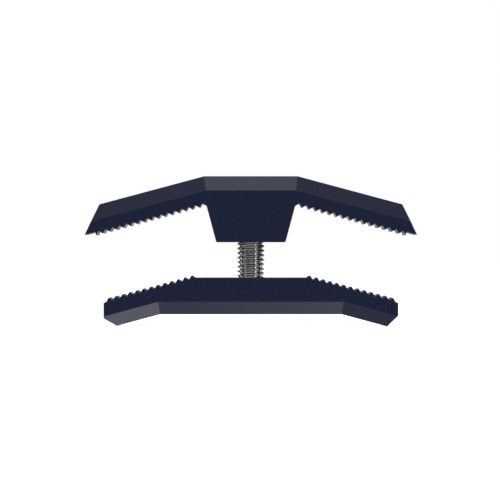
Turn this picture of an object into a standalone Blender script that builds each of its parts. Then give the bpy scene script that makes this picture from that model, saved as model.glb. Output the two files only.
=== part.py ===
"""Double-wing panel clamp: two toothed jaws drawn together by one captive socket head screw.

The frame has +Z up and the origin on the ground, midway between the two feet of the lower jaw.
X runs along the wings and Y through the depth. Every length below is in millimetres until it is
scaled by MM, and the scene is in metres.
"""

from math import cos, pi, radians, sin, sqrt, tan

import bmesh
import bpy
from mathutils import Matrix, Vector

MM = 0.001
OBJECT_NAME = "double_wing_clamp"

# Both jaws
JAW_DEPTH = 20.0
WING_ANGLE = radians(15.0)
WING_THICKNESS = 5.65
TOOTH_PITCH = 1.56
TOOTH_HEIGHT = TOOTH_PITCH / 2.0
JAW_GAP = 7.8

# Lower jaw
BASE_BEND_X = 19.9
FOOT_X = 29.85
LEFT_FOOT_X = 29.35
LOWER_HALF_WIDTH = 32.2
LOWER_THICKNESS = 8.0
LOWER_CHAMFER = 2.75
LOWER_TEETH = 13
LOWER_END_LAND = 0.55
LEFT_CORNER_ANGLE = radians(30.0)
RIGHT_CORNER_ANGLE = radians(45.0)

# Upper jaw
UPPER_HALF_WIDTH = 36.3
TOP_BEND_X = 10.25
UPPER_HEIGHT = 14.45
UPPER_CHAMFER = 3.15
UPPER_TEETH = 16
BOSS_FOOT_HALF = 7.57
BOSS_CORNER_RADIUS = 0.3
END_FACE_ANGLE = radians(65.0)

# Screw
THREAD_PITCH = 1.0
THREAD_RADIUS = 3.0
THREAD_ROOT = 2.3
THREAD_START = 0.6
THREAD_STEPS = 24
THREAD_PLAY = 0.12
SCREW_LENGTH = 22.0
HEAD_RADIUS = 5.0
HEAD_HEIGHT = 6.0
HEAD_EDGE = 0.4
SOCKET_ACROSS_FLATS = 5.0
SOCKET_DEPTH = 3.0
TIP_RADIUS = 2.6
TIP_LENGTH = 0.8
CLIP_GROOVE_RADIUS = 2.0
CLIP_GROOVE_WIDTH = 0.9

# Fits
FACE_GAP = 0.3
SIDE_GAP = 0.15
HOLE_RADIUS = 3.3
COUNTERBORE_RADIUS = 5.5
MOUTH_CHAMFER = 0.3

# Washer and retaining ring around the screw head
WASHER_INNER = 3.25
WASHER_OUTER = 5.3
WASHER_THICKNESS = 1.2
RING_OUTER = 5.75
RING_INNER = 4.45
RING_THICKNESS = 1.0
RING_GROOVE_RADIUS = 5.95
RING_HALF_OPENING = radians(16.0)
RING_LUG_RADIUS = 0.95
RING_LUG_HOLE = 0.4
RING_LUG_CENTRE = 4.4
RING_LUG_WIDTH = radians(20.0)
RING_LUG_BLEND = radians(5.0)

# Threaded insert, its pins and the stop clip under it
INSERT_RADIUS = 4.2
INSERT_LENGTH = 4.7
FLANGE_RADIUS = 6.4
FLANGE_THICKNESS = 1.0
FLANGE_RECESS = 2.1
PIN_RADIUS = 0.5
PIN_CIRCLE = 5.3
PIN_LENGTH = 3.6
CLIP_OUTER = 4.65
CLIP_INNER = 2.15
CLIP_RELIEF = 3.1
CLIP_THICKNESS = 0.7
CLIP_HALF_OPENING = radians(38.0)
CLIP_LAND = radians(14.0)
CLIP_BLEND = radians(8.0)

ROUND_STEPS = 48
SMALL_ROUND_STEPS = 32
SMOOTH_ANGLE = radians(12.0)
OVERCUT = 1.0
PIN_SIDES = {"left": -1.0, "right": 1.0}

# Heights that follow from the sizes above
BASE_Z = (FOOT_X - BASE_BEND_X) * tan(WING_ANGLE)
LOWER_TOP_Z = BASE_Z + LOWER_THICKNESS
BOSS_Z = LOWER_TOP_Z + JAW_GAP
UPPER_TOP_Z = BOSS_Z + UPPER_HEIGHT
FLANGE_Z = BASE_Z + FLANGE_RECESS
CLIP_Z = FLANGE_Z - FACE_GAP - CLIP_THICKNESS
TIP_Z = CLIP_Z - (CLIP_GROOVE_WIDTH - CLIP_THICKNESS) / 2.0 - TIP_LENGTH
HEAD_Z = TIP_Z + SCREW_LENGTH
WASHER_Z = HEAD_Z - FACE_GAP - WASHER_THICKNESS
SEAT_Z = WASHER_Z - FACE_GAP
RING_Z = HEAD_Z + HEAD_HEIGHT + FACE_GAP

# A wing runs out and down. These are its directions on the right-hand side, as (x, z).
ALONG = Vector((cos(WING_ANGLE), -sin(WING_ANGLE)))
WING_UP = Vector((sin(WING_ANGLE), cos(WING_ANGLE)))


def clear_scene():
    for old in list(bpy.data.objects):
        bpy.data.objects.remove(old)


def make_collection(name):
    collection = bpy.data.collections.new(name)
    bpy.context.scene.collection.children.link(collection)
    return collection


def make_material(name, colour, roughness, metallic):
    material = bpy.data.materials.new(name)
    material.use_nodes = True
    shader = material.node_tree.nodes["Principled BSDF"]
    shader.inputs["Base Color"].default_value = (*colour, 1.0)
    shader.inputs["Roughness"].default_value = roughness
    shader.inputs["Metallic"].default_value = metallic
    return material


def make_object(name, data, collection, height=0.0):
    """A new object whose origin is on the screw's axis, at this height."""
    made = bpy.data.objects.new(name, data)
    made.location.z = height * MM
    collection.objects.link(made)
    return made


def mesh_from(bm, name):
    mesh = bpy.data.meshes.new(name)
    bmesh.ops.recalc_face_normals(bm, faces=bm.faces)
    bm.to_mesh(mesh)
    bm.free()
    return mesh


def outline_bar(name, outline, collection, height=0.0):
    """A jaw's whole section as one face in X and Z, extruded through the depth, centred on Y = 0."""
    bm = bmesh.new()
    front = [bm.verts.new((across * MM, up * MM, -JAW_DEPTH * MM / 2.0)) for across, up in outline]
    section = bm.faces.new(front)
    extruded = bmesh.ops.extrude_face_region(bm, geom=[section], use_keep_orig=True)["geom"]
    back = [part for part in extruded if isinstance(part, bmesh.types.BMVert)]
    bmesh.ops.translate(bm, verts=back, vec=(0.0, 0.0, JAW_DEPTH * MM))
    bar = make_object(name, mesh_from(bm, name), collection, height)
    bar.rotation_euler.x = pi / 2.0
    return bar


def flat_ring(name, loops, thickness, collection, height):
    """A sheet metal ring from closed outlines, the second and later being holes.

    It lies flat with its underside at the height.
    """
    curve = bpy.data.curves.new(name, "CURVE")
    curve.dimensions = "2D"
    curve.fill_mode = "BOTH"
    curve.extrude = thickness / 2.0
    for loop in loops:
        spline = curve.splines.new("POLY")
        spline.points.add(len(loop) - 1)
        for point, (across, along) in zip(spline.points, loop):
            point.co = (across, along, 0.0, 1.0)
        spline.use_cyclic_u = True
    drawn = make_object(name + "_outline", curve, collection)
    bpy.context.view_layer.update()
    evaluated = drawn.evaluated_get(bpy.context.evaluated_depsgraph_get())
    mesh = bpy.data.meshes.new_from_object(evaluated)
    bpy.data.objects.remove(drawn)
    bm = bmesh.new()
    bm.from_mesh(mesh)
    bpy.data.meshes.remove(mesh)
    bmesh.ops.remove_doubles(bm, verts=bm.verts, dist=1e-4)
    bmesh.ops.scale(bm, vec=(MM, MM, MM), verts=bm.verts)
    return make_object(name, mesh_from(bm, name), collection, height + thickness / 2.0)


def turned(name, profile, collection, height=0.0, closed=False):
    """A solid turned about Z from (radius, height) points that run down its outer side."""
    bm = bmesh.new()
    corners = [bm.verts.new((radius * MM, 0.0, z * MM)) for radius, z in profile]
    for upper, lower in zip(corners, corners[1:]):
        bm.edges.new((upper, lower))
    if closed:
        bm.edges.new((corners[-1], corners[0]))
    mesh = bpy.data.meshes.new(name)
    bm.to_mesh(mesh)
    bm.free()
    solid = make_object(name, mesh, collection, height)
    screw = solid.modifiers.new("Turn", "SCREW")
    screw.steps = screw.render_steps = ROUND_STEPS
    screw.use_merge_vertices = True
    screw.merge_threshold = 1e-6
    return solid


def hide_helper(helper):
    helper.hide_render = True
    helper.display_type = "WIRE"


def combine(target, tool, operation):
    """Cuts the tool from the target, or joins it to the target, and keeps the tool as a helper."""
    boolean = target.modifiers.new(operation.title(), "BOOLEAN")
    boolean.operation = operation
    boolean.object = tool
    hide_helper(tool)


def chamfer_edges(solid, corners, width):
    """Chamfers the front and back edges that run through these outline corners."""
    mesh = solid.data
    weights = mesh.attributes.new("bevel_weight_edge", "FLOAT", "EDGE")
    stops = [Vector(corner) * MM for corner in corners]

    def on_chain(vertex):
        return any((vertex.co.xy - stop).length < 1e-6 for stop in stops)

    for edge in mesh.edges:
        ends = [mesh.vertices[index] for index in edge.vertices]
        across_depth = abs(ends[0].co.z - ends[1].co.z) > 1e-6
        if all(on_chain(end) for end in ends) and not across_depth:
            weights.data[edge.index].value = 1.0
    bevel = solid.modifiers.new("Chamfer", "BEVEL")
    bevel.limit_method = "WEIGHT"
    bevel.width = width * MM
    bevel.segments = 1


def rounded_corner(before, corner, after, radius, steps=7):
    """The arc that rounds a corner of an outline."""
    back = (before - corner).normalized()
    ahead = (after - corner).normalized()
    half = back.angle(ahead) / 2.0
    centre = corner + (back + ahead).normalized() * radius / sin(half)
    start = corner + back * radius / tan(half) - centre
    end = corner + ahead * radius / tan(half) - centre
    turn = start.angle_signed(end)
    arc = []
    for step in range(steps + 1):
        angle = -turn * step / steps
        arc.append(centre + Matrix.Rotation(angle, 2) @ start)
    return arc


def mirrored(half):
    """The whole outline, from its right half given from bottom to top."""
    return half + [Vector((-point.x, point.y)) for point in reversed(half)]


def upper_jaw_outline():
    """The right half of the upper jaw, from the foot of its boss to the bend of its top face."""
    bend = Vector((TOP_BEND_X, UPPER_HEIGHT))
    boss_foot = Vector((BOSS_FOOT_HALF, 0.0))
    under_bend = bend - WING_UP * WING_THICKNESS
    root = under_bend + ALONG * (boss_foot - under_bend).dot(ALONG)
    crest = root - WING_UP * TOOTH_HEIGHT
    half = rounded_corner(Vector((0.0, 0.0)), boss_foot, crest, BOSS_CORNER_RADIUS)
    half.append(crest)
    for tooth in range(UPPER_TEETH):
        half.append(root + ALONG * TOOTH_PITCH * (tooth + 0.5))
        half.append(crest + ALONG * TOOTH_PITCH * (tooth + 1.0))
    half.append(root + ALONG * TOOTH_PITCH * UPPER_TEETH)
    lip = root + ALONG * (UPPER_HALF_WIDTH - root.x) / ALONG.x
    end_length = WING_THICKNESS / sin(END_FACE_ANGLE - WING_ANGLE)
    shoulder = lip + Vector((-cos(END_FACE_ANGLE), sin(END_FACE_ANGLE))) * end_length
    half += [lip, shoulder, bend]
    return half, [shoulder, bend]


def lower_jaw_outline():
    """The right half of the lower jaw, from the bend of its base to its flat top."""
    bend = Vector((BASE_BEND_X, BASE_Z))
    outer = bend + ALONG * (LOWER_HALF_WIDTH - BASE_BEND_X) / ALONG.x
    above_bend = bend + WING_UP * WING_THICKNESS
    end_top = above_bend + ALONG * (LOWER_HALF_WIDTH - above_bend.x) / ALONG.x
    half = [bend, outer, end_top]
    valley = end_top - ALONG * LOWER_END_LAND
    half.append(valley)
    for tooth in range(LOWER_TEETH):
        half.append(valley - ALONG * TOOTH_PITCH * (tooth + 0.5) + WING_UP * TOOTH_HEIGHT)
        half.append(valley - ALONG * TOOTH_PITCH * (tooth + 1.0))
    half.append(above_bend + ALONG * (above_bend.y - LOWER_TOP_Z) / -ALONG.y)
    return half, [bend, outer]


def corner_cutter(name, side, foot_x, angle, collection):
    """A block that trims the end of a lower wing at this angle to the ground.

    Its face cuts the wing's underside at foot_x from the screw's axis.
    """
    size = 12.0
    bpy.ops.mesh.primitive_cube_add(size=size * MM)
    block = bpy.context.object
    block.name = name
    block.scale.y = 2.0 * JAW_DEPTH / size
    block.rotation_euler.y = -side * angle
    outward = Vector((side * sin(angle), 0.0, -cos(angle)))
    foot = Vector((side * foot_x, 0.0, (FOOT_X - foot_x) * tan(WING_ANGLE)))
    block.location = (foot + outward * size / 2.0) * MM
    for home in block.users_collection:
        home.objects.unlink(block)
    collection.objects.link(block)
    return block


def straight_pin(name, side, radius, low, high, collection):
    """A round pin beside the screw, parallel to it, from low to high."""
    bm = bmesh.new()
    bmesh.ops.create_cone(
        bm,
        cap_ends=True,
        segments=SMALL_ROUND_STEPS,
        radius1=radius * MM,
        radius2=radius * MM,
        depth=(high - low) * MM,
    )
    pin = make_object(name, mesh_from(bm, name), collection, (low + high) / 2.0)
    pin.location.x = side * PIN_CIRCLE * MM
    return pin


def drill_pin_holes(target, collection):
    """Cuts the two holes that the lock pins stand in."""
    top = FLANGE_Z + PIN_LENGTH + FACE_GAP
    for label, side in PIN_SIDES.items():
        name = f"{target.name}_{label}_pin_drill"
        drill = straight_pin(name, side, PIN_RADIUS + SIDE_GAP, FLANGE_Z - OVERCUT, top, collection)
        combine(target, drill, "DIFFERENCE")


def thread_mesh(name, low, high, grow=0.0, tip=None):
    """A V-threaded rod about Z from low to high, as a right-hand helix of crests and roots.

    All threads share one phase, so that a bigger one cuts the hole which the screw runs in.
    Below the height tip[0] the crests are turned down to the radius tip[1].
    """
    first = int((low - THREAD_PITCH * 2.0) // THREAD_PITCH) * THREAD_STEPS
    last = int((high + THREAD_PITCH * 2.0) // THREAD_PITCH) * THREAD_STEPS
    bm = bmesh.new()

    def helix(radius, phase):
        points = []
        for step in range(first, last + 1):
            angle = 2.0 * pi * step / THREAD_STEPS
            z = THREAD_PITCH * (step / THREAD_STEPS + phase)
            reach = radius + grow
            if tip and z < tip[0]:
                reach = min(reach, tip[1])
            corner = (reach * cos(angle) * MM, reach * sin(angle) * MM, z * MM)
            points.append(bm.verts.new(corner))
        return points

    crests = helix(THREAD_RADIUS, THREAD_START)
    roots = helix(THREAD_ROOT, THREAD_START + 0.5)
    for step in range(last - first):
        bm.faces.new((crests[step], crests[step + 1], roots[step + 1], roots[step]))
    for step in range(last - first - THREAD_STEPS):
        above = step + THREAD_STEPS
        bm.faces.new((roots[step], roots[step + 1], crests[above + 1], crests[above]))
    for cut, outward in ((low, -1.0), (high, 1.0)):
        bmesh.ops.bisect_plane(
            bm,
            geom=bm.verts[:] + bm.edges[:] + bm.faces[:],
            plane_co=(0.0, 0.0, cut * MM),
            plane_no=(0.0, 0.0, outward),
            clear_outer=True,
        )
        rim = [edge for edge in bm.edges if edge.is_boundary and on_level(edge, cut)]
        bmesh.ops.edgeloop_fill(bm, edges=rim)
    return mesh_from(bm, name)


def on_level(edge, height):
    return all(abs(vertex.co.z - height * MM) < 1e-7 for vertex in edge.verts)


def arc_points(radius, start, end, steps):
    """Points on a circle about the origin, from one angle to another."""
    points = []
    for step in range(steps + 1):
        angle = start + (end - start) * step / steps
        points.append(Vector((radius * cos(angle), radius * sin(angle))))
    return points


def circle_at(centre, radius):
    around = arc_points(radius, 0.0, 2.0 * pi, SMALL_ROUND_STEPS)[:-1]
    return [centre + point for point in around]


def build_lower_jaw(parts, tools, metal):
    half, chain = lower_jaw_outline()
    jaw = outline_bar("lower_jaw", mirrored(half), parts)
    chamfer_edges(jaw, mirrored(chain), LOWER_CHAMFER)
    left = corner_cutter("left_corner_cutter", -1.0, LEFT_FOOT_X, LEFT_CORNER_ANGLE, tools)
    right = corner_cutter("right_corner_cutter", 1.0, FOOT_X, RIGHT_CORNER_ANGLE, tools)
    insert_hole = INSERT_RADIUS + SIDE_GAP
    flange_hole = FLANGE_RADIUS + SIDE_GAP
    flange_seat = FLANGE_Z + FLANGE_THICKNESS + FACE_GAP
    insert_stop = FLANGE_Z + INSERT_LENGTH + FACE_GAP
    bore = [
        (0.0, LOWER_TOP_Z + OVERCUT),
        (HOLE_RADIUS, LOWER_TOP_Z + OVERCUT),
        (HOLE_RADIUS, insert_stop),
        (insert_hole, insert_stop),
        (insert_hole, flange_seat),
        (flange_hole, flange_seat),
        (flange_hole, BASE_Z + MOUTH_CHAMFER),
        (flange_hole + MOUTH_CHAMFER, BASE_Z),
        (flange_hole + MOUTH_CHAMFER, BASE_Z - OVERCUT),
        (0.0, BASE_Z - OVERCUT),
    ]
    for tool in (left, right, turned("lower_bore_cutter", bore, tools)):
        combine(jaw, tool, "DIFFERENCE")
    drill_pin_holes(jaw, tools)
    jaw.data.materials.append(metal)
    return jaw


def build_upper_jaw(parts, tools, metal):
    half, chain = upper_jaw_outline()
    jaw = outline_bar("upper_jaw", mirrored(half), parts, BOSS_Z)
    chamfer_edges(jaw, mirrored(chain), UPPER_CHAMFER)
    bore = [
        (0.0, UPPER_TOP_Z + OVERCUT),
        (COUNTERBORE_RADIUS + MOUTH_CHAMFER, UPPER_TOP_Z + OVERCUT),
        (COUNTERBORE_RADIUS + MOUTH_CHAMFER, UPPER_TOP_Z),
        (COUNTERBORE_RADIUS, UPPER_TOP_Z - MOUTH_CHAMFER),
        (COUNTERBORE_RADIUS, RING_Z + RING_THICKNESS + SIDE_GAP),
        (RING_GROOVE_RADIUS, RING_Z + RING_THICKNESS + SIDE_GAP),
        (RING_GROOVE_RADIUS, RING_Z - SIDE_GAP),
        (COUNTERBORE_RADIUS, RING_Z - SIDE_GAP),
        (COUNTERBORE_RADIUS, SEAT_Z),
        (HOLE_RADIUS, SEAT_Z),
        (HOLE_RADIUS, BOSS_Z - OVERCUT),
        (0.0, BOSS_Z - OVERCUT),
    ]
    combine(jaw, turned("upper_bore_cutter", bore, tools), "DIFFERENCE")
    jaw.data.materials.append(metal)
    return jaw


def build_clamp_screw(parts, tools, metal):
    """The socket head screw. Its origin is under its head, and its thread runs down from there."""
    head = [
        (0.0, HEAD_HEIGHT),
        (HEAD_RADIUS - HEAD_EDGE, HEAD_HEIGHT),
        (HEAD_RADIUS, HEAD_HEIGHT - HEAD_EDGE),
        (HEAD_RADIUS, 0.0),
        (0.0, 0.0),
    ]
    screw = turned("clamp_screw", head, parts, HEAD_Z)
    tip = (TIP_Z + TIP_LENGTH, TIP_RADIUS)
    thread = thread_mesh("clamp_screw_thread", TIP_Z, HEAD_Z + OVERCUT, tip=tip)
    combine(screw, make_object("clamp_screw_thread", thread, tools), "UNION")
    groove_low = TIP_LENGTH - SCREW_LENGTH
    groove = [
        (THREAD_RADIUS + OVERCUT, groove_low + CLIP_GROOVE_WIDTH),
        (THREAD_RADIUS + OVERCUT, groove_low),
        (CLIP_GROOVE_RADIUS, groove_low),
        (CLIP_GROOVE_RADIUS, groove_low + CLIP_GROOVE_WIDTH),
    ]
    cutter = turned("clip_groove_cutter", groove, tools, HEAD_Z, closed=True)
    combine(screw, cutter, "DIFFERENCE")
    bm = bmesh.new()
    socket_radius = SOCKET_ACROSS_FLATS / sqrt(3.0) * MM
    bmesh.ops.create_cone(
        bm,
        cap_ends=True,
        segments=6,
        radius1=socket_radius,
        radius2=socket_radius,
        depth=2.0 * SOCKET_DEPTH * MM,
    )
    socket = make_object("hex_socket_cutter", mesh_from(bm, "hex_socket_cutter"), tools)
    socket.location.z = (HEAD_Z + HEAD_HEIGHT) * MM
    combine(screw, socket, "DIFFERENCE")
    screw.data.materials.append(metal)
    return screw


def ring_profile(inner, outer, thickness):
    return [(inner, thickness), (outer, thickness), (outer, 0.0), (inner, 0.0)]


def build_thrust_washer(parts, metal):
    profile = ring_profile(WASHER_INNER, WASHER_OUTER, WASHER_THICKNESS)
    washer = turned("thrust_washer", profile, parts, WASHER_Z, closed=True)
    washer.data.materials.append(metal)
    return washer


def build_retaining_ring(parts, metal):
    """The sprung ring over the screw head, open towards +X, with an eyed lug at each end."""
    start = RING_HALF_OPENING
    end = 2.0 * pi - start
    nose = RING_LUG_CENTRE - RING_LUG_RADIUS
    outline = arc_points(RING_OUTER, start, end, 44)
    outline += arc_points(nose, end, end - RING_LUG_WIDTH, 3)
    bow = RING_LUG_WIDTH + RING_LUG_BLEND
    outline += arc_points(RING_INNER, end - bow, start + bow, 36)
    outline += arc_points(nose, start + RING_LUG_WIDTH, start, 3)
    eyes = []
    for angle in (start + RING_LUG_WIDTH / 2.0, end - RING_LUG_WIDTH / 2.0):
        centre = Vector((cos(angle), sin(angle))) * RING_LUG_CENTRE
        eyes.append(circle_at(centre, RING_LUG_HOLE))
    ring = flat_ring("head_retaining_ring", [outline, *eyes], RING_THICKNESS, parts, RING_Z)
    ring.data.materials.append(metal)
    return ring


def build_thread_insert(parts, tools, metal):
    blank = [
        (0.0, INSERT_LENGTH),
        (INSERT_RADIUS - MOUTH_CHAMFER, INSERT_LENGTH),
        (INSERT_RADIUS, INSERT_LENGTH - MOUTH_CHAMFER),
        (INSERT_RADIUS, FLANGE_THICKNESS),
        (FLANGE_RADIUS, FLANGE_THICKNESS),
        (FLANGE_RADIUS, 0.0),
        (0.0, 0.0),
    ]
    insert = turned("thread_insert", blank, parts, FLANGE_Z)
    low = FLANGE_Z - OVERCUT
    high = FLANGE_Z + INSERT_LENGTH + OVERCUT
    tap = make_object("insert_tap", thread_mesh("insert_tap", low, high, THREAD_PLAY), tools)
    combine(insert, tap, "DIFFERENCE")
    drill_pin_holes(insert, tools)
    insert.data.materials.append(metal)
    return insert


def build_lock_pins(parts, metal):
    pins = []
    for label, side in PIN_SIDES.items():
        name = f"{label}_lock_pin"
        pin = straight_pin(name, side, PIN_RADIUS, FLANGE_Z, FLANGE_Z + PIN_LENGTH, parts)
        pin.data.materials.append(metal)
        pins.append(pin)
    return pins


def build_stop_clip(parts, metal):
    """The E-clip in the groove at the screw's tip, open towards +X, gripping at three lands."""
    start = CLIP_HALF_OPENING
    end = 2.0 * pi - start
    outline = arc_points(CLIP_OUTER, start, end, 40)
    lands = [end - CLIP_LAND, pi, start + CLIP_LAND]
    for land, following in zip(lands, lands[1:] + [None]):
        outline += arc_points(CLIP_INNER, land + CLIP_LAND, land - CLIP_LAND, 2)
        if following is not None:
            reach = CLIP_LAND + CLIP_BLEND
            outline += arc_points(CLIP_RELIEF, land - reach, following + reach, 6)
    clip = flat_ring("screw_stop_clip", [outline], CLIP_THICKNESS, parts, CLIP_Z)
    clip.data.materials.append(metal)
    return clip


def shade(solid):
    """Smooth round faces, with every edge that turns by more than one round step kept crisp."""
    solid.data.shade_smooth()
    solid.data.set_sharp_from_angle(angle=SMOOTH_ANGLE)


def parent_to_axis(name, parts, children):
    """An empty on the screw's axis that carries the nodes of one moving body."""
    axis = make_object(name, None, parts)
    for child in children:
        child.parent = axis
    return axis


def main():
    clear_scene()
    parts = make_collection(OBJECT_NAME)
    tools = make_collection("cutters")
    navy = make_material("navy_anodised", (0.012, 0.016, 0.040), 0.42, 0.25)
    steel = make_material("stainless_steel", (0.55, 0.54, 0.52), 0.28, 1.0)
    dark_steel = make_material("phosphated_spring_steel", (0.06, 0.06, 0.065), 0.45, 0.9)
    upper = [build_upper_jaw(parts, tools, navy), build_retaining_ring(parts, dark_steel)]
    washer = [build_thrust_washer(parts, steel)]
    screw = [build_clamp_screw(parts, tools, steel), build_stop_clip(parts, dark_steel)]
    lower = [
        build_lower_jaw(parts, tools, navy),
        build_thread_insert(parts, tools, steel),
        *build_lock_pins(parts, steel),
    ]
    for solid in upper + washer + screw + lower:
        shade(solid)
    parent_to_axis("upper_jaw_body", parts, upper)
    swivel = parent_to_axis("swivel_body", parts, washer)
    for name, pieces in (("screw_body", screw), ("lower_jaw_body", lower)):
        parent_to_axis(name, parts, pieces).parent = swivel


main()
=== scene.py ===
"""Looks of the double-wing panel clamp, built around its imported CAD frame.

The jaws, ring, clip, insert, washer and pins are fine copies of their CAD solids with every
machined edge broken. The screw is made anew, with a rolled thread, a knurled head and a hexagon
socket. Lengths are in millimetres until MM scales them, and the scene is in metres.
"""

from math import cos, pi, radians, sin, sqrt

import bmesh
import bpy
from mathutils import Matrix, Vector


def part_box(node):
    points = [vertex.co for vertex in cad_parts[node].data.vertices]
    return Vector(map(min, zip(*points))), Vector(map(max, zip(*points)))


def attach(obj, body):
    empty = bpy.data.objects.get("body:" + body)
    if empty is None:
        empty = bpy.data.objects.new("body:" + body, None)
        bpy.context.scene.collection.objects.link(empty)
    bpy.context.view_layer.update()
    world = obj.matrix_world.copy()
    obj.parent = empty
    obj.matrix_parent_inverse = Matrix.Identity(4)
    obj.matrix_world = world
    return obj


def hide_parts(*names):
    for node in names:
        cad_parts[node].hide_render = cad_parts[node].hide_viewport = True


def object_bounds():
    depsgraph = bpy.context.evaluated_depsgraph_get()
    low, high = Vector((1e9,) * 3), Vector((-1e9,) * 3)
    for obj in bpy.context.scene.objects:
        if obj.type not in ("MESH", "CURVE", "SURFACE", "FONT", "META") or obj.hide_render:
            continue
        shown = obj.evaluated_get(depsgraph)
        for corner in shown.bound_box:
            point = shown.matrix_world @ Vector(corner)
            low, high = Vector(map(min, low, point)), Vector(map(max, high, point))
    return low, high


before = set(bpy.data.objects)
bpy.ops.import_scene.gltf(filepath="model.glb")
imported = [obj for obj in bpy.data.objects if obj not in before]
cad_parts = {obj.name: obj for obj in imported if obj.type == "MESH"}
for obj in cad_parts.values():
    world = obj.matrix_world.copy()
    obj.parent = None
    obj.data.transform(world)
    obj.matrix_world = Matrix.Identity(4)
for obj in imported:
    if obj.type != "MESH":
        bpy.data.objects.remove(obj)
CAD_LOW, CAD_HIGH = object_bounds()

MM = 0.001

# The screw's thread, with its clip groove at GROOVE_LOW above the tip
THREAD_PITCH = 1.0
THREAD_START = 0.6
THREAD_RADIUS = 3.0
THREAD_STEPS = 72
SPARE_TURNS = 2
CREST_ROUND = 0.15
ROOT_ROUND = 0.10
FLANK_LEAN = radians(60.0)
FLANK_HOLD = 0.02
TIP_CHAMFER = 0.45
GROOVE_RADIUS = 2.0
GROOVE_WIDTH = 0.9
GROOVE_LOW = 0.8
BLANK_TURN = 0.37
THREAD_INTO_HEAD = 0.5
THREAD_SHARP = radians(50.0)

# The screw's head
HEAD_HEIGHT = 6.0
HEAD_EDGE = 0.45
CORNER_SHARE = 0.3
HEAD_FOOT_ROUND = 0.12
HEAD_WAIST = 0.04
HEAD_SHARP = radians(32.0)
KNURL_RIDGES = 60
KNURL_STEPS = 6
KNURL_DEPTH = 0.09
KNURL_SINK = 0.02
KNURL_RUNOUT = 0.25
KNURL_LOW = 0.7
KNURL_END = 0.5
SOCKET_ACROSS_FLATS = 5.0
SOCKET_CORNER = SOCKET_ACROSS_FLATS / sqrt(3.0)
SOCKET_DEPTH = 3.0
SOCKET_CONE = 0.8
MOUTH_WIDTH = 0.22
MOUTH_DEPTH = 0.6
MOUTH_TAPER = 1.04
MOUTH_STEPS = 96
OVERCUT = 1.0

# Broken edges of the machined pieces
BROKEN_EDGE = 0.06
EDGE_SEGMENTS = 3
EDGE_ANGLE = radians(11.5)
BEND_ANGLE = radians(9.5)
BEND_LENGTH = 3.0
FLATNESS = 90
SAME_POINT = 1e-6
SAME_FACE = radians(0.2)

# Linear colours
NAVY_DEEP = (0.0070, 0.0105, 0.0364)
NAVY_PATCH = (0.0079, 0.0117, 0.0401)
NAVY_GRAIN = (0.012, 0.018, 0.050)
NAVY_GLOSS = (0.88, 0.90, 1.0, 1.0)
BRIGHT_STEEL = (0.64, 0.63, 0.62)
GROUND_STEEL = (0.56, 0.55, 0.53)
PHOSPHATE = (0.045, 0.046, 0.050)
PHOSPHATE_RUBBED = (0.085, 0.086, 0.092)
PAPER = (0.90, 0.90, 0.90)
PAPER_PALE = (0.93, 0.93, 0.93)
WHITE = (1.0, 1.0, 1.0, 1.0)

# Camera, straight in front and level with the middle of the picture, with its clips in metres
PICTURE_WIDTH = 109.2
CAMERA_DISTANCE = 1030.0
CAMERA_X = -0.19
CAMERA_Z = 16.75
SENSOR_WIDTH = 36.0
CLIP_NEAR = 0.01
CLIP_FAR = 50.0

# Light, as radiance where white is 1, from a sky that depends on the direction
FLOOR_SIZE = 6.0
FLOOR_GLOW = 0.80
STUDIO_DIM = 0.06
BACKDROP_WHITE = 0.8
BACKDROP_DIP = radians(2.0)
BACKDROP_CORE = radians(7.0)
BACKDROP_SPREAD = radians(30.0)
BACKDROP_FLATNESS = 4.0
BAND_WHITE = 1.7
BAND_LOW = radians(18.0)
BAND_HIGH = radians(44.0)
BAND_BLUR = radians(2.5)
BAND_TURN = radians(15.0)
BAND_SPREAD = radians(95.0)
CAP_WHITE = 0.30
CAP_LOW = radians(64.0)

# Soft boxes, in metres: name, place, size, radiance, and whether the clamp mirrors them
LIT_POINT = (0.0, 0.0, 0.015)
SOFT_BOXES = [
    ("overhead", (0.0, -0.05, 1.2), (0.34, 0.70), 1.0, True),
    ("underneath", (0.40, 0.0, -1.2), (0.62, 0.70), 1.75, True),
    ("front_left", (-0.9, -1.0, 0.8), (1.0, 1.0), 0.15, False),
    ("front_right", (0.9, -1.0, 0.8), (1.0, 1.0), 0.15, False),
    ("low_front_left", (-0.9, -0.8, -1.1), (1.0, 1.0), 0.15, False),
    ("low_front_right", (0.9, -0.8, -1.1), (1.0, 1.0), 0.15, False),
    ("screw_strip", (1.30, -0.95, 0.10), (0.5, 0.9), 2.0, True),
    ("back_left", (-1.0, 1.1, 0.8), (1.0, 1.0), 1.7, True),
    ("back_right", (1.0, 1.1, 0.8), (1.0, 1.0), 1.7, True),
    ("low_back", (0.0, 1.0, -1.0), (1.8, 0.8), 1.2, True),
    ("left", (-1.5, 0.0, 0.03), (2.4, 0.6), 0.7, True),
    ("right", (1.5, 0.2, 0.03), (1.6, 0.6), 0.35, True),
]
SCREW_STRIP = "screw_strip"
SCREW_PIECES = ("clamp_screw_head", "clamp_screw_thread")


# Node materials


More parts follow.
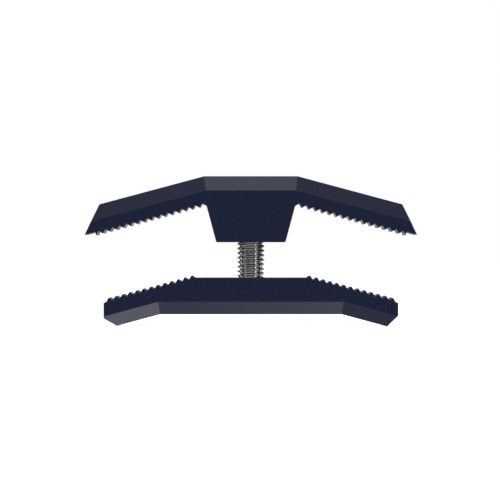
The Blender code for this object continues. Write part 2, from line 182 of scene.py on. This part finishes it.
class Shader:
    """A Principled material that is built up node by node, in the object's own coordinates."""

    def __init__(self, name, roughness, metallic=0.0, specular=0.5):
        self.material = bpy.data.materials.new(name)
        self.material.use_nodes = True
        self.tree = self.material.node_tree
        self.surface = self.tree.nodes["Principled BSDF"]
        self.surface.inputs["Roughness"].default_value = roughness
        self.surface.inputs["Metallic"].default_value = metallic
        self.surface.inputs["Specular IOR Level"].default_value = specular
        self.place = self.tree.nodes.new("ShaderNodeTexCoord").outputs["Object"]

    def node(self, kind, **settings):
        made = self.tree.nodes.new(kind)
        for key, value in settings.items():
            setattr(made, key, value)
        return made

    def link(self, output, entry):
        self.tree.links.new(output, entry)

    def noise(self, size, detail=2.0, place=None):
        """A noise whose features measure about this many millimetres."""
        noise = self.node("ShaderNodeTexNoise")
        noise.inputs["Scale"].default_value = 1.0 / (size * MM)
        noise.inputs["Detail"].default_value = detail
        self.link(place or self.place, noise.inputs["Vector"])
        return noise.outputs["Fac"]

    def spread(self, value, low, high):
        """Maps a noise's usual values, 0.3 to 0.7, to low and high."""
        ramp = self.node("ShaderNodeMapRange")
        ramp.inputs["From Min"].default_value = 0.3
        ramp.inputs["From Max"].default_value = 0.7
        ramp.inputs["To Min"].default_value = low
        ramp.inputs["To Max"].default_value = high
        self.link(value, ramp.inputs["Value"])
        return ramp.outputs["Result"]

    def mix_colours(self, amount, first, second):
        mix = self.node("ShaderNodeMix", data_type="RGBA")
        for entry, colour in (("A", first), ("B", second)):
            socket = next(s for s in mix.inputs if s.name == entry and s.type == "RGBA")
            if isinstance(colour, tuple):
                socket.default_value = (*colour, 1.0)
            else:
                self.link(colour, socket)
        self.link(amount, mix.inputs["Factor"])
        return next(s for s in mix.outputs if s.type == "RGBA")

    def colour(self, output):
        self.link(output, self.surface.inputs["Base Color"])

    def roughness(self, output):
        self.link(output, self.surface.inputs["Roughness"])

    def bump(self, *layers):
        """Stacks (height, depth in millimetres) layers of relief."""
        normal = None
        for height, depth in layers:
            bump = self.node("ShaderNodeBump")
            bump.inputs["Distance"].default_value = depth * MM
            self.link(height, bump.inputs["Height"])
            if normal:
                self.link(normal, bump.inputs["Normal"])
            normal = bump.outputs["Normal"]
        self.link(normal, self.surface.inputs["Normal"])

    def around_axis(self, size, stretch):
        """A noise drawn out along the turning direction, as a lathe leaves it."""
        split = self.node("ShaderNodeSeparateXYZ")
        self.link(self.place, split.inputs["Vector"])
        flat = self.node("ShaderNodeVectorMath", operation="MULTIPLY")
        flat.inputs[1].default_value = (1.0, 1.0, 0.0)
        self.link(self.place, flat.inputs[0])
        radius = self.node("ShaderNodeVectorMath", operation="LENGTH")
        self.link(flat.outputs["Vector"], radius.inputs[0])
        angle = self.node("ShaderNodeMath", operation="ARCTAN2")
        self.link(split.outputs["Y"], angle.inputs[0])
        self.link(split.outputs["X"], angle.inputs[1])
        slow = self.node("ShaderNodeMath", operation="MULTIPLY")
        slow.inputs[1].default_value = size * MM / stretch
        self.link(angle.outputs["Value"], slow.inputs[0])
        join = self.node("ShaderNodeCombineXYZ")
        self.link(radius.outputs["Value"], join.inputs["X"])
        self.link(slow.outputs["Value"], join.inputs["Y"])
        self.link(split.outputs["Z"], join.inputs["Z"])
        return self.noise(size, place=join.outputs["Vector"])


def anodised_navy():
    """Dark navy hard anodising over a bead-blasted surface, a little paler in patches."""
    shader = Shader("anodised_navy", roughness=0.27, specular=0.545)
    shader.surface.inputs["Specular Tint"].default_value = NAVY_GLOSS
    patches = shader.spread(shader.noise(9.0, detail=3.0), 0.0, 1.0)
    tone = shader.mix_colours(patches, NAVY_DEEP, NAVY_PATCH)
    grain = shader.spread(shader.noise(0.16, detail=1.0), 0.0, 0.16)
    shader.colour(shader.mix_colours(grain, tone, NAVY_GRAIN))
    shader.roughness(shader.spread(shader.noise(0.9, detail=4.0), 0.25, 0.29))
    shader.bump((shader.noise(0.14, detail=2.0), 0.0022), (shader.noise(3.0), 0.004))
    return shader.material


def turned_steel(name, base, roughness, relief):
    """Bare steel with the fine rings that turning or rolling leave, this many millimetres deep."""
    shader = Shader(name, roughness=roughness, metallic=1.0)
    rings = shader.around_axis(0.09, stretch=60.0)
    stain = shader.spread(shader.noise(1.6, detail=4.0), 0.0, 1.0)
    dark = tuple(channel * 0.86 for channel in base)
    shader.colour(shader.mix_colours(stain, dark, base))
    shader.roughness(shader.spread(rings, roughness * 0.8, roughness * 1.3))
    shader.bump((rings, relief), (shader.noise(0.25, detail=3.0), relief * 0.4))
    return shader.material


def phosphated_steel():
    """Spring steel with a thin grey-black phosphate coat, rubbed on its high spots."""
    shader = Shader("phosphated_steel", roughness=0.46, metallic=0.85)
    coat = shader.spread(shader.noise(0.5, detail=5.0), 0.0, 1.0)
    shader.colour(shader.mix_colours(coat, PHOSPHATE, PHOSPHATE_RUBBED))
    shader.roughness(shader.spread(shader.noise(0.3, detail=3.0), 0.40, 0.54))
    shader.bump((shader.noise(0.08, detail=3.0), 0.003))
    return shader.material


def pale_floor():
    """A white light table: it glows a little, so that it reads white with only a soft shadow."""
    shader = Shader("pale_floor", roughness=0.9, specular=0.1)
    paper = shader.spread(shader.noise(40.0, detail=2.0), 0.0, 1.0)
    shader.colour(shader.mix_colours(paper, PAPER, PAPER_PALE))
    shader.surface.inputs["Emission Color"].default_value = WHITE
    shader.surface.inputs["Emission Strength"].default_value = FLOOR_GLOW
    return shader.material


# Pieces


def show(piece, body, material, node):
    """Gives a finished piece its material and its body, and hides the CAD node that it stands for.
    """
    piece.data.materials.clear()
    piece.data.materials.append(material)
    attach(piece, body)
    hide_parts(node)


def link_mesh(name, bm):
    """A smooth-shaded object made from this mesh, with its faces turned outwards."""
    mesh = bpy.data.meshes.new(name)
    bmesh.ops.recalc_face_normals(bm, faces=bm.faces)
    bm.to_mesh(mesh)
    bm.free()
    mesh.shade_smooth()
    made = bpy.data.objects.new(name, mesh)
    bpy.context.scene.collection.objects.link(made)
    return made


def break_edges(piece):
    """Rounds every marked edge of a machined piece, and keeps its flats flat in the shading."""
    bevel = piece.modifiers.new("Broken edges", "BEVEL")
    bevel.limit_method = "WEIGHT"
    bevel.width = BROKEN_EDGE * MM
    bevel.segments = EDGE_SEGMENTS
    flats = piece.modifiers.new("Flat faces", "WEIGHTED_NORMAL")
    flats.mode = "FACE_AREA"
    flats.weight = FLATNESS
    flats.keep_sharp = True


def mark_edges(bm):
    """Marks the creases, and the long shallow bends of the chamfers, but no facet of a round."""
    weight = bm.edges.layers.float.new("bevel_weight_edge")
    for edge in bm.edges:
        angle = edge.calc_face_angle(0.0)
        bend = angle > BEND_ANGLE and edge.calc_length() > BEND_LENGTH * MM
        if angle > EDGE_ANGLE or bend:
            edge[weight] = 1.0


def fine_copy(node):
    """A copy of a CAD node with whole faces and broken edges."""
    bm = bmesh.new()
    bm.from_mesh(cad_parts[node].data)
    bmesh.ops.remove_doubles(bm, verts=bm.verts, dist=SAME_POINT)
    bmesh.ops.dissolve_limit(bm, angle_limit=SAME_FACE, verts=bm.verts, edges=bm.edges)
    mark_edges(bm)
    copy = link_mesh(node + "_fine", bm)
    break_edges(copy)
    return copy


def ring(height, reach, steps, turn=0.0):
    """Points on a level circle about the axis, with reach(angle) or reach as their radius."""
    points = []
    for step in range(steps):
        angle = 2.0 * pi * (step + turn) / steps
        radius = reach(angle) if callable(reach) else reach
        points.append(Vector((radius * cos(angle), radius * sin(angle), height)) * MM)
    return points


def stack(name, rings, point=None):
    """A closed solid from rings, top to bottom, which ends in a flat face or in this point."""
    bm = bmesh.new()
    skins = [[bm.verts.new(corner) for corner in level] for level in rings]
    for upper, lower in zip(skins, skins[1:]):
        count = len(upper)
        for index in range(count):
            after = (index + 1) % count
            bm.faces.new((upper[index], upper[after], lower[after], lower[index]))
    bm.faces.new(skins[0])
    lowest = skins[-1]
    if point is None:
        bm.faces.new(lowest)
    else:
        tip = bm.verts.new(point)
        for one, two in zip(lowest, lowest[1:] + lowest[:1]):
            bm.faces.new((one, two, tip))
    return link_mesh(name, bm)


def thread_profile():
    """One pitch of a rolled V thread as (height, radius): a round crest and the round root above.

    The extra points just past the rounds keep the flanks flat in the shading.
    """
    root = THREAD_RADIUS + CREST_ROUND + ROOT_ROUND - THREAD_PITCH * sin(FLANK_LEAN)
    leans = [FLANK_LEAN * share for share in (-1.0, -0.5, 0.0, 0.5, 1.0)]
    crest = []
    hollow = []
    for lean in leans:
        crest.append((CREST_ROUND * sin(lean), THREAD_RADIUS - CREST_ROUND * (1.0 - cos(lean))))
        height = THREAD_PITCH / 2.0 + ROOT_ROUND * sin(lean)
        hollow.append((height, root + ROOT_ROUND * (1.0 - cos(lean))))
    along, inward = FLANK_HOLD * cos(FLANK_LEAN), FLANK_HOLD * sin(FLANK_LEAN)
    upper_flank = [
        (crest[-1][0] + along, crest[-1][1] - inward),
        (hollow[0][0] - along, hollow[0][1] + inward),
    ]
    lower_flank = [
        (hollow[-1][0] + along, hollow[-1][1] + inward),
        (THREAD_PITCH + crest[0][0] - along, crest[0][1] - inward),
    ]
    return crest + upper_flank + hollow + lower_flank


def endless_thread(low, high):
    """A right-hand thread, as a closed solid that runs from below low to above high.

    A fan of faces closes each end, well outside the length that is kept.
    """
    profile = thread_profile()
    first = int(low / THREAD_PITCH - THREAD_START) - SPARE_TURNS
    turns = int((high - low) / THREAD_PITCH) + 2 * SPARE_TURNS + 1
    bm = bmesh.new()
    rows = []
    for step in range(turns * THREAD_STEPS + 1):
        turn = step / THREAD_STEPS
        angle = 2.0 * pi * turn
        start = THREAD_PITCH * (first + turn + THREAD_START)
        row = []
        for height, radius in profile:
            point = Vector((radius * cos(angle), radius * sin(angle), start + height))
            row.append(bm.verts.new(point * MM))
        rows.append(row)
    for index, (row, after) in enumerate(zip(rows, rows[1:])):
        strip = list(zip(row, after))
        if index + THREAD_STEPS + 1 < len(rows):
            strip.append((rows[index + THREAD_STEPS][0], rows[index + THREAD_STEPS + 1][0]))
        for (one, two), (four, three) in zip(strip, strip[1:]):
            bm.faces.new((one, two, three, four))
    middle = (low + high) / 2.0 * MM
    foot = bm.verts.new(Vector((0.0, 0.0, THREAD_PITCH * (first - 1))) * MM)
    crown = bm.verts.new(Vector((0.0, 0.0, THREAD_PITCH * (first + turns + 2))) * MM)
    for edge in [edge for edge in bm.edges if edge.is_boundary]:
        one, two = edge.verts
        bm.faces.new((one, two, foot if one.co.z < middle else crown))
    return link_mesh("clamp_screw_thread", bm)


def thread_blank(tip, top):
    """The turned outline that trims the thread: its chamfered tip, the clip's groove and its end.

    It is turned a little, so that none of its corners lies on a corner of the thread.
    """
    clear = THREAD_RADIUS + OVERCUT
    groove_top = GROOVE_LOW + GROOVE_WIDTH
    outline = [
        (top, clear),
        (tip + groove_top, clear),
        (tip + groove_top, GROOVE_RADIUS),
        (tip + GROOVE_LOW, GROOVE_RADIUS),
        (tip + GROOVE_LOW, THREAD_RADIUS - TIP_CHAMFER + GROOVE_LOW),
        (tip, THREAD_RADIUS - TIP_CHAMFER),
    ]
    rings = [ring(height, reach, THREAD_STEPS * 2, BLANK_TURN) for height, reach in outline]
    return stack("thread_blank", rings)


def head_blank(low, radius):
    """The knurled head, with a rounded foot and a smooth turned bevel at its top."""
    top = low + HEAD_HEIGHT
    foot = HEAD_FOOT_ROUND
    crown = radius - KNURL_SINK
    waist = radius - HEAD_WAIST

    def knurled(angle):
        return crown - KNURL_DEPTH * (0.5 - 0.5 * cos(KNURL_RIDGES * angle))

    sections = [
        (top, radius - HEAD_EDGE),
        (top - HEAD_EDGE * CORNER_SHARE, radius - HEAD_EDGE * CORNER_SHARE),
        (top - HEAD_EDGE, crown),
        (top - HEAD_EDGE - KNURL_RUNOUT, knurled),
        (low + KNURL_LOW, knurled),
        (low + KNURL_END, waist),
        (low + foot, waist),
        (low + foot * CORNER_SHARE, waist - foot * CORNER_SHARE),
        (low, waist - foot),
    ]
    around = KNURL_RIDGES * KNURL_STEPS
    return stack("clamp_screw_head", [ring(height, reach, around) for height, reach in sections])


def socket_cutter(top):
    """The hexagon socket, with its drilled cone below."""
    floor = top - SOCKET_DEPTH
    rings = [ring(height, SOCKET_CORNER, 6) for height in (top + OVERCUT, floor)]
    return stack("socket_cutter", rings, point=Vector((0.0, 0.0, floor - SOCKET_CONE)) * MM)


def mouth_cutter(top):
    """The cone that breaks the socket's corners at the head's face."""
    wide = SOCKET_CORNER + MOUTH_WIDTH
    outline = [(top + OVERCUT, wide), (top, wide), (top - MOUTH_DEPTH, wide - MOUTH_TAPER)]
    return stack("mouth_cutter", [ring(height, reach, MOUTH_STEPS) for height, reach in outline])


def cut(piece, cutter, operation="DIFFERENCE"):
    """Cuts the cutter from the piece for good, or all but it, and removes the cutter."""
    boolean = piece.modifiers.new("Cut", "BOOLEAN")
    boolean.operation = operation
    boolean.object = cutter
    bpy.context.view_layer.update()
    shaped = piece.evaluated_get(bpy.context.evaluated_depsgraph_get())
    mesh = bpy.data.meshes.new_from_object(shaped)
    piece.modifiers.remove(boolean)
    piece.data = mesh
    bpy.data.objects.remove(cutter)


def build_screw(steel):
    """The screw's head and its thread, in the box of the CAD screw."""
    low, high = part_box("clamp_screw")
    tip, top = low.z / MM, high.z / MM
    head_low = top - HEAD_HEIGHT
    head = head_blank(head_low, high.y / MM)
    cut(head, socket_cutter(top))
    cut(head, mouth_cutter(top))
    thread = endless_thread(tip, head_low)
    cut(thread, thread_blank(tip, head_low + THREAD_INTO_HEAD), "INTERSECT")
    for piece, sharp in ((head, HEAD_SHARP), (thread, THREAD_SHARP)):
        piece.data.shade_smooth()
        piece.data.set_sharp_from_angle(angle=sharp)
        show(piece, "screw_body", steel, "clamp_screw")


def build_object():
    navy = anodised_navy()
    bright_steel = turned_steel("bright_screw_steel", BRIGHT_STEEL, roughness=0.07, relief=0.0003)
    ground_steel = turned_steel("ground_steel", GROUND_STEEL, roughness=0.30, relief=0.0035)
    spring_steel = phosphated_steel()
    plans = [
        ("upper_jaw", "upper_jaw_body", navy),
        ("lower_jaw", "lower_jaw_body", navy),
        ("head_retaining_ring", "upper_jaw_body", spring_steel),
        ("screw_stop_clip", "screw_body", spring_steel),
        ("thrust_washer", "swivel_body", ground_steel),
        ("thread_insert", "lower_jaw_body", ground_steel),
        ("left_lock_pin", "lower_jaw_body", ground_steel),
        ("right_lock_pin", "lower_jaw_body", ground_steel),
    ]
    for node, body, material in plans:
        show(fine_copy(node), body, material, node)
    build_screw(bright_steel)


# Stage


def build_floor():
    """A plain floor to look at. Light from below the clamp passes it, as on a light table."""
    bm = bmesh.new()
    bmesh.ops.create_grid(bm, x_segments=4, y_segments=4, size=FLOOR_SIZE)
    floor = link_mesh("floor", bm)
    floor.data.materials.append(pale_floor())
    floor.visible_diffuse = False
    floor.visible_glossy = False
    floor.visible_shadow = False


def soft_box(name, place, size, radiance, mirrored):
    """A rectangular soft light of this radiance that faces the clamp, which may mirror it."""
    light = bpy.data.lights.new(name, "AREA")
    light.shape = "RECTANGLE"
    light.size, light.size_y = size
    light.energy = radiance * pi * size[0] * size[1]
    made = bpy.data.objects.new(name, light)
    made.location = place
    made.rotation_mode = "QUATERNION"
    made.rotation_quaternion = (Vector(LIT_POINT) - Vector(place)).to_track_quat("-Z", "Y")
    made.visible_camera = False
    made.visible_glossy = mirrored
    bpy.context.scene.collection.objects.link(made)


def light_only(light, pieces):
    """Keeps a light's rays for these pieces."""
    lit = bpy.data.collections.new(light + "_receivers")
    for piece in pieces:
        lit.objects.link(bpy.data.objects[piece])
    bpy.data.objects[light].light_linking.receiver_collection = lit


class Sky:
    """A world whose radiance is built up from the direction that a ray looks in."""

    def __init__(self, name):
        world = bpy.data.worlds.new(name)
        world.use_nodes = True
        bpy.context.scene.world = world
        self.tree = world.node_tree
        self.direction = self.tree.nodes.new("ShaderNodeTexCoord").outputs["Generated"]

    def enter(self, socket, value):
        if isinstance(value, bpy.types.NodeSocket):
            self.tree.links.new(value, socket)
        else:
            socket.default_value = value

    def work_out(self, kind, operation, values):
        made = self.tree.nodes.new(kind)
        made.operation = operation
        for socket, value in zip(made.inputs, values):
            self.enter(socket, value)
        return made.outputs

    def vector(self, operation, *values):
        return self.work_out("ShaderNodeVectorMath", operation, values)["Vector"]

    def dot(self, *values):
        return self.work_out("ShaderNodeVectorMath", "DOT_PRODUCT", values)["Value"]

    def maths(self, operation, *values):
        return self.work_out("ShaderNodeMath", operation, values)["Value"]

    def ramp(self, value, start, end, low, high):
        """Turns smoothly from low at start to high at end."""
        made = self.tree.nodes.new("ShaderNodeMapRange")
        made.interpolation_type = "SMOOTHSTEP"
        made.inputs["From Min"].default_value = start
        made.inputs["From Max"].default_value = end
        made.inputs["To Min"].default_value = low
        made.inputs["To Max"].default_value = high
        self.enter(made.inputs["Value"], value)
        return made.outputs["Result"]

    def shine(self, strength, seen):
        """Lights the scene with this strength, and shows the camera a plain white instead."""
        lit = self.tree.nodes["Background"]
        lit.inputs["Color"].default_value = WHITE
        self.enter(lit.inputs["Strength"], strength)
        plain = self.tree.nodes.new("ShaderNodeBackground")
        plain.inputs["Color"].default_value = WHITE
        plain.inputs["Strength"].default_value = seen
        mix = self.tree.nodes.new("ShaderNodeMixShader")
        camera_ray = self.tree.nodes.new("ShaderNodeLightPath").outputs["Is Camera Ray"]
        self.enter(mix.inputs["Fac"], camera_ray)
        self.enter(mix.inputs[1], lit.outputs["Background"])
        self.enter(mix.inputs[2], plain.outputs["Background"])
        self.enter(self.tree.nodes["World Output"].inputs["Surface"], mix.outputs["Shader"])


def build_sky():
    """A white panel behind the clamp, and soft bands of light above and below in front of it."""
    sky = Sky("studio")
    drawn_out = sky.vector("MULTIPLY", sky.direction, (1.0, 1.0, BACKDROP_FLATNESS))
    behind = sky.vector("NORMALIZE", drawn_out)
    behind = sky.dot(behind, (0.0, cos(BACKDROP_DIP), -sin(BACKDROP_DIP)))
    panel = sky.ramp(behind, cos(BACKDROP_SPREAD), cos(BACKDROP_CORE), STUDIO_DIM, BACKDROP_WHITE)
    rise = sky.maths("ABSOLUTE", sky.dot(sky.direction, (0.0, 0.0, 1.0)))
    band = sky.ramp(rise, sin(BAND_LOW - BAND_BLUR), sin(BAND_LOW + BAND_BLUR), 0.0, BAND_WHITE)
    top = sky.ramp(rise, sin(BAND_HIGH - BAND_BLUR), sin(BAND_HIGH + BAND_BLUR), 1.0, 0.0)
    ahead = sky.dot(sky.direction, (-sin(BAND_TURN), -cos(BAND_TURN), 0.0))
    ahead = sky.ramp(ahead, cos(BAND_SPREAD + BAND_BLUR), cos(BAND_SPREAD - BAND_BLUR), 0.0, 1.0)
    band = sky.maths("MULTIPLY", sky.maths("MULTIPLY", band, top), ahead)
    cap = sky.ramp(rise, sin(CAP_LOW - BAND_BLUR), sin(CAP_LOW + BAND_BLUR), 0.0, CAP_WHITE)
    sky.shine(sky.maths("ADD", sky.maths("ADD", panel, band), cap), seen=1.0)


def build_light():
    """Soft boxes all round the clamp. The strip's glare is for the screw, not for the jaws."""
    for name, place, size, radiance, mirrored in SOFT_BOXES:
        soft_box(name, place, size, radiance, mirrored)
    light_only(SCREW_STRIP, SCREW_PIECES)


def build_camera():
    """A long lens in front of the clamp, which takes in PICTURE_WIDTH at its front face."""
    data = bpy.data.cameras.new("camera")
    data.sensor_width = SENSOR_WIDTH
    data.lens = SENSOR_WIDTH * CAMERA_DISTANCE / PICTURE_WIDTH
    data.clip_start, data.clip_end = CLIP_NEAR, CLIP_FAR
    camera = bpy.data.objects.new("camera", data)
    camera.location = (CAMERA_X * MM, CAD_LOW.y - CAMERA_DISTANCE * MM, CAMERA_Z * MM)
    camera.rotation_euler.x = pi / 2.0
    bpy.context.scene.collection.objects.link(camera)
    bpy.context.scene.camera = camera


build_camera()
build_object()
build_floor()
build_sky()
build_light()
bpy.context.scene.view_settings.view_transform = "Standard"
